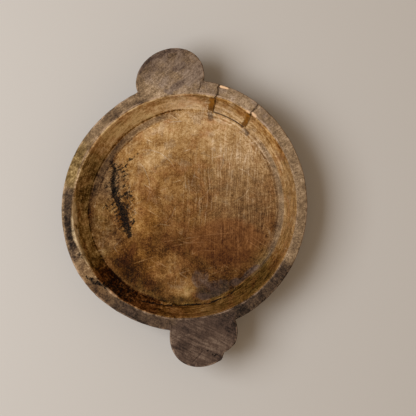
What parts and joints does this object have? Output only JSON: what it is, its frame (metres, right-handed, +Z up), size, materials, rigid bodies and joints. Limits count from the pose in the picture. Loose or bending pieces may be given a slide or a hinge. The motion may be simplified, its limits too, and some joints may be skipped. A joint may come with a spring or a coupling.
{
  "type": "dough bowl",
  "caption": "Wide shallow carved wooden bowl with two round lugs on its rim and one piece of the rim and wall glued back in.",
  "frame": {"origin": "on the resting face, under the middle of the bowl's outline", "axes": "+Z up out of the bowl's mouth, +Y through the two lugs towards the plain one, +X to the right with +Y away from the viewer"},
  "size_m": [0.4465, 0.58, 0.085],
  "materials": {
    "old_wood": "worn and oiled, satin inside and dry on the rim",
    "segment_wood": "worn and oiled, dry on the rim",
    "amber_glue": "hardened amber glue"
  },
  "bodies": {
    "root": {"bowl_body": "old_wood", "rim_segment": "segment_wood", "glue_left": "amber_glue", "glue_right": "amber_glue", "glue_bed": "amber_glue"}
  },
  "joints": []
}
